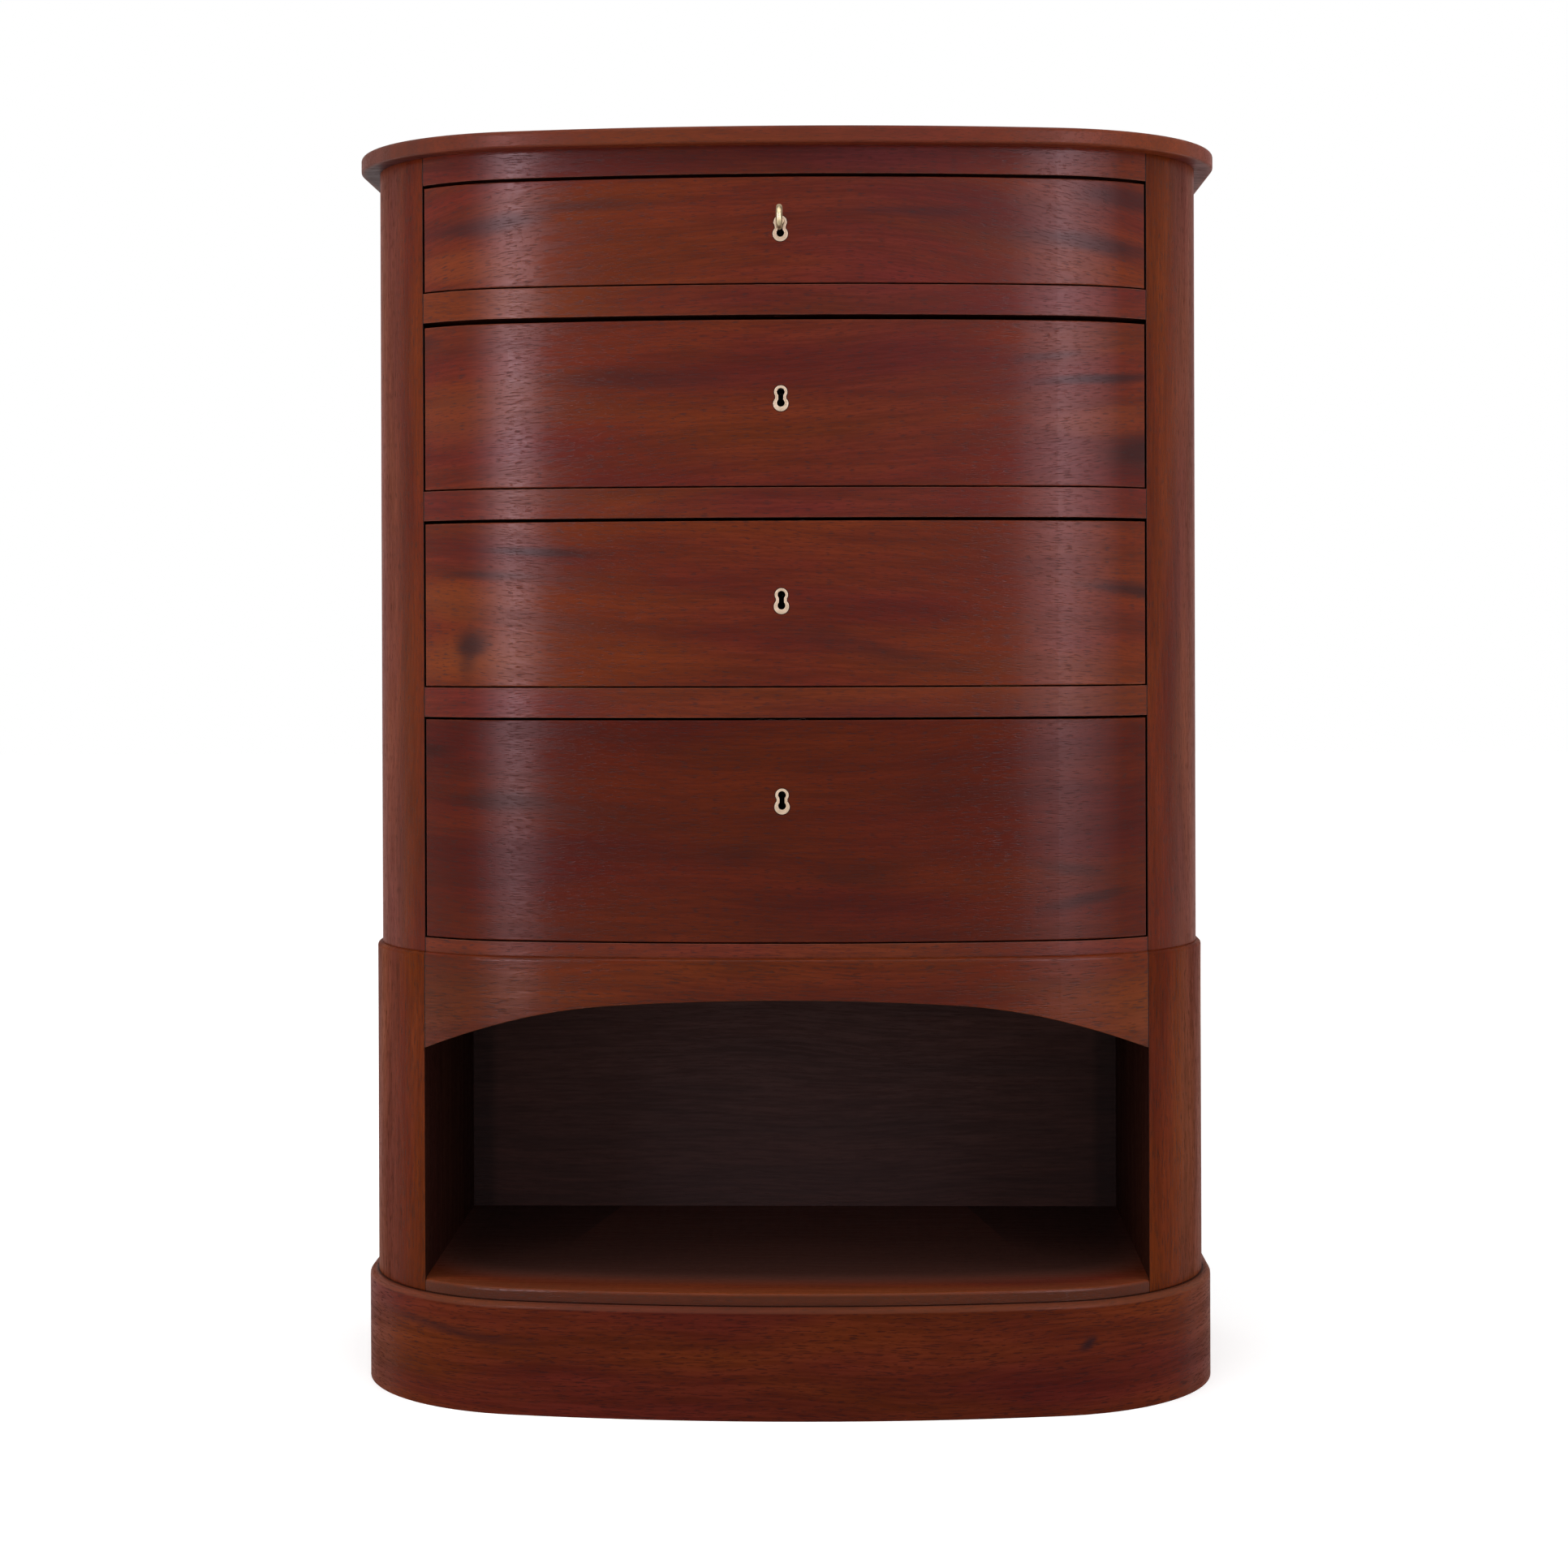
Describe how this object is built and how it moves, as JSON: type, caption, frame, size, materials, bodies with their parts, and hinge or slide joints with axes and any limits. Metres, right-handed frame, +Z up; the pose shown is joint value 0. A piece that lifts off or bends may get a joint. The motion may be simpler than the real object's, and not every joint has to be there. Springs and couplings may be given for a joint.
{
  "type": "bow front chest of drawers",
  "caption": "Tall bow front chest with round corners, stacked inset drawers worked by key, and an open niche under an arched apron on a plinth.",
  "frame": {"origin": "on the floor, under the middle of the chest with its key", "axes": "+Z up, -Y out of the drawer fronts, +X to the right of someone facing them"},
  "size_m": [0.784, 0.449, 1.117],
  "materials": {
    "mahogany_top": "polished mahogany board, edge grain, satin lacquer",
    "mahogany_rail": "mahogany veneer with the grain across, satin lacquer",
    "mahogany_upright": "mahogany veneer with upright grain, satin lacquer",
    "mahogany_plinth": "mahogany veneer with the grain across, satin lacquer, a little worn",
    "mahogany_drawer": "mahogany veneer with the grain across, satin lacquer",
    "back_panel": "stained board, matt",
    "drawer_lining": "plain oak, waxed",
    "drawer_panel": "plain plywood, unfinished",
    "frame_pine": "plain pine, unfinished",
    "brass_plate": "pale worn brass, filed flush",
    "brass_key": "cast brass, tarnished",
    "lock_steel": "plain steel, lightly oiled"
  },
  "bodies": {
    "carcass": {"top_board": "mahogany_top", "top_rail": "mahogany_rail", "divider_rail_1": "mahogany_rail", "divider_rail_2": "mahogany_rail", "divider_rail_3": "mahogany_rail", "case_bottom": "mahogany_rail", "arched_apron": "mahogany_rail", "base_shelf": "mahogany_rail", "upper_left_post": "mahogany_upright", "upper_right_post": "mahogany_upright", "upper_left_side": "mahogany_upright", "upper_right_side": "mahogany_upright", "lower_left_post": "mahogany_upright", "lower_right_post": "mahogany_upright", "lower_left_side": "mahogany_upright", "lower_right_side": "mahogany_upright", "plinth_front": "mahogany_plinth", "plinth_left": "mahogany_plinth", "plinth_right": "mahogany_plinth", "upper_back": "back_panel", "lower_back": "back_panel", "plinth_back": "back_panel", "left_runners": "frame_pine", "right_runners": "frame_pine", "drawer_guides": "frame_pine", "top_kickers": "frame_pine", "drawer_stops": "frame_pine"},
    "drawer_1": {"drawer_1_front": "mahogany_drawer", "drawer_1_left_side": "drawer_lining", "drawer_1_right_side": "drawer_lining", "drawer_1_back": "drawer_lining", "drawer_1_bottom": "drawer_panel", "drawer_1_escutcheon": "brass_plate", "drawer_1_lock": "lock_steel"},
    "lock_bolt_1": {"drawer_1_bolt": "lock_steel"},
    "drawer_2": {"drawer_2_front": "mahogany_drawer", "drawer_2_left_side": "drawer_lining", "drawer_2_right_side": "drawer_lining", "drawer_2_back": "drawer_lining", "drawer_2_bottom": "drawer_panel", "drawer_2_escutcheon": "brass_plate", "drawer_2_lock": "lock_steel"},
    "lock_bolt_2": {"drawer_2_bolt": "lock_steel"},
    "drawer_3": {"drawer_3_front": "mahogany_drawer", "drawer_3_left_side": "drawer_lining", "drawer_3_right_side": "drawer_lining", "drawer_3_back": "drawer_lining", "drawer_3_bottom": "drawer_panel", "drawer_3_escutcheon": "brass_plate", "drawer_3_lock": "lock_steel"},
    "lock_bolt_3": {"drawer_3_bolt": "lock_steel"},
    "drawer_4": {"drawer_4_front": "mahogany_drawer", "drawer_4_left_side": "drawer_lining", "drawer_4_right_side": "drawer_lining", "drawer_4_back": "drawer_lining", "drawer_4_bottom": "drawer_panel", "drawer_4_escutcheon": "brass_plate", "drawer_4_lock": "lock_steel"},
    "lock_bolt_4": {"drawer_4_bolt": "lock_steel"},
    "key": {"key": "brass_key"}
  },
  "joints": [
    {"name": "drawer_1_slide", "type": "slide", "parent": "carcass", "child": "drawer_1", "axis": [0, -1, 0], "range_m": [0, 0.25]},
    {"name": "drawer_2_slide", "type": "slide", "parent": "carcass", "child": "drawer_2", "axis": [0, -1, 0], "range_m": [0, 0.25]},
    {"name": "drawer_3_slide", "type": "slide", "parent": "carcass", "child": "drawer_3", "axis": [0, -1, 0], "range_m": [0, 0.25]},
    {"name": "drawer_4_slide", "type": "slide", "parent": "carcass", "child": "drawer_4", "axis": [0, -1, 0], "range_m": [0, 0.25]},
    {"name": "key_turn", "type": "hinge", "parent": "drawer_1", "child": "key", "pos_m": [-0.0012, -0.1665, 1.0359], "axis": [0, 1, 0], "range_deg": [0, 360]},
    {"name": "bolt_1_throw", "type": "slide", "parent": "drawer_1", "child": "lock_bolt_1", "axis": [0, 0, 1], "range_m": [0, 0.007]},
    {"name": "bolt_2_throw", "type": "slide", "parent": "drawer_2", "child": "lock_bolt_2", "axis": [0, 0, 1], "range_m": [0, 0.007]},
    {"name": "bolt_3_throw", "type": "slide", "parent": "drawer_3", "child": "lock_bolt_3", "axis": [0, 0, 1], "range_m": [0, 0.007]},
    {"name": "bolt_4_throw", "type": "slide", "parent": "drawer_4", "child": "lock_bolt_4", "axis": [0, 0, 1], "range_m": [0, 0.007]}
  ],
  "couplings": [
    {"joint": "bolt_1_throw", "follows": "key_turn", "m_per_rad": 0.001114}
  ]
}
